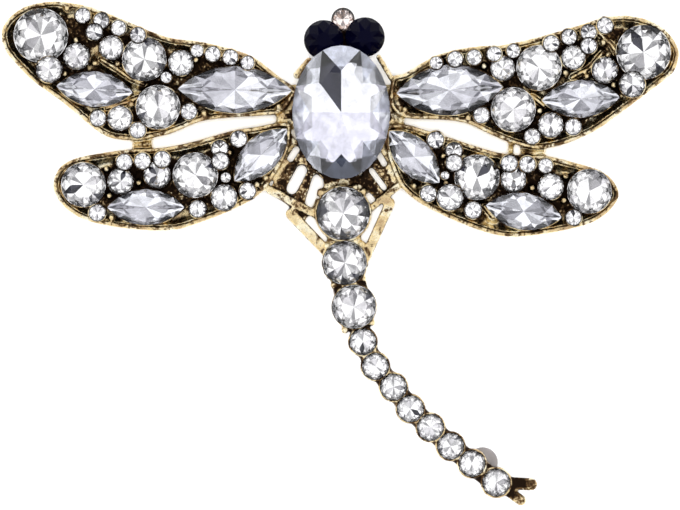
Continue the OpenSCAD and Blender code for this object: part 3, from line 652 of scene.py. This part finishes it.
def store_patina(mesh, rims):
    """Stores how dark each vertex is, from patina and from painted shade beside the stones: 0 and less on
    bare gold, and 1 at most.
    """
    places, normals = places_and_normals(mesh)
    height = places[:, 2]
    patches = np.array([noise.noise(Vector(place) * 0.8) for place in places])
    to_rim = rim_distance(rims, places)
    ledge = 1 - slide(to_rim + 0.6 * patches, LEDGE, LEDGE + 0.5)
    ledge *= slide(height - FLOOR_Z - ledge_rise(to_rim), 0.25, 0.1)
    front = slide(places[:, 1], TAIL_Y, TAIL_Y + 1)
    low = slide(height, PLATE_Z + 0.2, PLATE_Z + 0.05) * front
    gap, depth = beside_stones(places)
    # Painted shade: metal facing up right beside the stones of the body and tail, near the height of their
    # edges, is darkened to stand for the dark gaps between the stones
    link = slide(depth, -0.03, 0.06) * slide(gap, 0.12, 0.3) * slide(gap, 0.8, 0.55)
    link *= slide(normals[:, 2], 0.2, 0.6)
    link *= slide(np.abs(places[:, 0]), 4, 3) + 1 - front
    link *= slide(places[:, 1], SHIN_Y - 2.2, SHIN_Y - 2.8)
    legs = slide(height, PLATE_Z + 0.15, PLATE_Z + 0.3) * slide(np.abs(places[:, 0]), 10, 9) * front
    shins = legs * slide(places[:, 1], SHIN_Y, SHIN_Y - 0.6)
    patina_and_painted_shade = 0.12 + 0.3 * patches + 0.65 * hollows(mesh) + 0.12 * (1 - front)
    patina_and_painted_shade += 0.3 * low * (1 - ledge) - 0.5 * ledge - 0.05 * legs - 0.3 * shins + 0.6 * link
    patina_and_painted_shade -= (1.4 + 0.9 * low) * np.clip(bulges(mesh), 0, 0.4)
    attribute = mesh.attributes.new("patina_and_painted_shade", "FLOAT", "POINT")
    attribute.data.foreach_set("value", np.clip(patina_and_painted_shade, -0.3, 1).astype(np.float32))


casting = cast_copy("frame")
raise_ledges(casting.data)
sink_skin(casting.data)
thin_out(casting)
rims = rim_tree(casting.data)
store_patina(casting.data, rims)
casting.data.transform(Matrix.Scale(MM, 4))
for polygon in casting.data.polygons:
    polygon.use_smooth = True
casting.data.materials.clear()
casting.data.materials.append(GOLD)
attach(casting, BODY)
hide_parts("frame")

# Collets: thin seats round the wing stones. Columns: out from the stone's edge, up from it or,
# for the foot, above the table
COLLET = [(0.0, -0.4), (0.01, -0.02), (0.04, 0.02), (0.09, -0.02)]
COLLET_FOOT = (0.15, 3.95)


def add_collet(bm, stone):
    """A thin seat round a stone, with patches of patina."""
    layer = bm.verts.layers.float.get("patina_and_painted_shade") or bm.verts.layers.float.new("patina_and_painted_shade")
    steps = int(16 + 10 * sum(stone.half))
    profile = [(out, stone.edge_z + up) for out, up in COLLET] + [COLLET_FOOT]
    rings = []
    for i in range(steps):
        angle = 2 * math.pi * i / steps
        ring = [bm.verts.new((*stone.place(angle, out=out), z)) for out, z in profile]
        for vert in ring:
            low = min(1, (stone.edge_z - vert.co.z) / 0.5)
            to_rim = rims.find((vert.co.x, vert.co.y, 0))[2]
            vert[layer] = 0.6 + 1.1 * noise.noise(vert.co * 0.9) + 0.4 * max(0, low)
            vert[layer] -= 0.8 * slide(to_rim, 1.0, 0.5)
        rings.append(ring)
    for i in range(steps):
        for j in range(len(profile)):
            bm.faces.new([rings[i - 1][j - 1], rings[i][j - 1], rings[i][j], rings[i - 1][j]])


bm = bmesh.new()
for stone in stones:
    if stone.in_wing:
        add_collet(bm, stone)
collets = finish_piece(bm, "collets", [GOLD], smooth=True)

# The pin finding stays as the CAD model has it
pin = frame["nodes"]["pin_back"]
pin.data.materials.clear()
pin.data.materials.append(PIN_GOLD)


# The grey pad: a round disc with a soft edge

def lathe(bm, middle, profile, sides):
    """Turns a profile of radius and height pairs round an upright axis, closed at both ends."""
    rings = []
    for radius, z in profile:
        ring = []
        for i in range(sides):
            x, y = middle + radius * towards(2 * math.pi * i / sides)
            ring.append(bm.verts.new((x, y, z)))
        rings.append(ring)
    for low, high in zip(rings, rings[1:]):
        for i in range(sides):
            after = (i + 1) % sides
            bm.faces.new([low[i], low[after], high[after], high[i]])
    bm.faces.new(rings[0][::-1])
    bm.faces.new(rings[-1])


low, high = (np.array(corner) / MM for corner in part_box("tail_pad"))
pad_middle = (low[:2] + high[:2]) / 2
pad_r = (high[0] - low[0]) / 2
pad_round = 0.5
profile = [(pad_r - 0.15, low[2]), (pad_r, low[2] + 0.15)]
for i in range(7):
    angle = i * math.pi / 12
    profile.append((pad_r - pad_round * (1 - math.cos(angle)), high[2] - pad_round * (1 - math.sin(angle))))
bm = bmesh.new()
lathe(bm, pad_middle, profile, 48)
finish_piece(bm, "tail_pad_round", [PAD], ["tail_pad"], smooth=True)


# Table, light and camera

def table():
    bpy.ops.mesh.primitive_plane_add(size=6)
    floor = bpy.context.object
    floor.name = "table"
    floor.data.materials.append(table_top())


# Softboxes. Columns: direction round the brooch and height above the table in degrees, distance,
# width and height in metres, brightness
SOFTBOXES = [
    (150, 43, 1.1, 0.8, 0.6, 1.35),
    (103, 43, 1.1, 0.25, 0.6, 1.25),
    (76, 43, 1.1, 0.27, 0.6, 1.25),
    (28, 43, 1.1, 0.8, 0.6, 1.2),
    (-27, 43, 1.1, 0.8, 0.6, 1.1),
    (-75, 43, 1.1, 0.26, 0.6, 1.2),
    (-101, 43, 1.1, 0.3, 0.6, 1.2),
    (-150, 43, 1.1, 0.8, 0.6, 1.15),
    (0, 90, 2.2, 1.9, 1.9, 0.9)
]
# A lamp for the table alone, straight above: distance, width and brightness
TABLE_LAMP = (2.2, 0.4, 100)


def softbox(name, around, above, distance, width, height, brightness):
    data = bpy.data.lights.new(name, "AREA")
    data.shape = "RECTANGLE"
    data.size = width
    data.size_y = height
    data.energy = brightness * math.pi * width * height
    light = bpy.data.objects.new(name, data)
    a, e = math.radians(around), math.radians(above)
    place = Vector((math.cos(a) * math.cos(e), math.sin(a) * math.cos(e), math.sin(e)))
    light.location = place * distance
    light.rotation_euler = place.to_track_quat("Z", "Y").to_euler()
    light.visible_camera = False
    bpy.context.scene.collection.objects.link(light)
    return light


def softboxes():
    for i, row in enumerate(SOFTBOXES):
        softbox(f"softbox_{i + 1}", *row)
    distance, width, brightness = TABLE_LAMP
    lamp = softbox("table_lamp", 0, 90, distance, width, width, brightness)
    lamp.visible_glossy = False
    lamp.visible_transmission = False


def world():
    """A pale horizon that darkens towards the top."""
    sky = bpy.data.worlds.new("studio")
    sky.use_nodes = True
    tree = sky.node_tree
    tree.nodes.clear()
    place = tree.nodes.new("ShaderNodeTexCoord")
    parts = tree.nodes.new("ShaderNodeSeparateXYZ")
    ramp = tree.nodes.new("ShaderNodeValToRGB")
    background = tree.nodes.new("ShaderNodeBackground")
    output = tree.nodes.new("ShaderNodeOutputWorld")
    tree.links.new(place.outputs["Generated"], parts.inputs[0])
    tree.links.new(parts.outputs["Z"], ramp.inputs["Fac"])
    tree.links.new(ramp.outputs["Color"], background.inputs["Color"])
    tree.links.new(background.outputs[0], output.inputs[0])
    stops = ramp.color_ramp.elements
    stops[0].position, stops[0].color = 0.28, (1.0, 1.0, 1.02, 1)
    stops[1].position, stops[1].color = 0.6, (0.24, 0.24, 0.26, 1)
    bpy.context.scene.world = sky


# The camera looks straight down. Its distance is long, so that heights shift nothing
CAMERA_DISTANCE = 1.5
VIEW_WIDTH = 0.07208
VIEW_MIDDLE = (-0.00002, -0.00015)
VIEW_HEIGHT = 0.005
SENSOR = 36.0


def camera():
    data = bpy.data.cameras.new("camera")
    data.sensor_width = SENSOR
    data.lens = SENSOR * CAMERA_DISTANCE / VIEW_WIDTH
    data.clip_end = 10
    camera = bpy.data.objects.new("camera", data)
    camera.location = (*VIEW_MIDDLE, VIEW_HEIGHT + CAMERA_DISTANCE)
    bpy.context.scene.collection.objects.link(camera)
    bpy.context.scene.camera = camera


table()
softboxes()
world()
camera()
bpy.context.scene.view_settings.view_transform = "Standard"
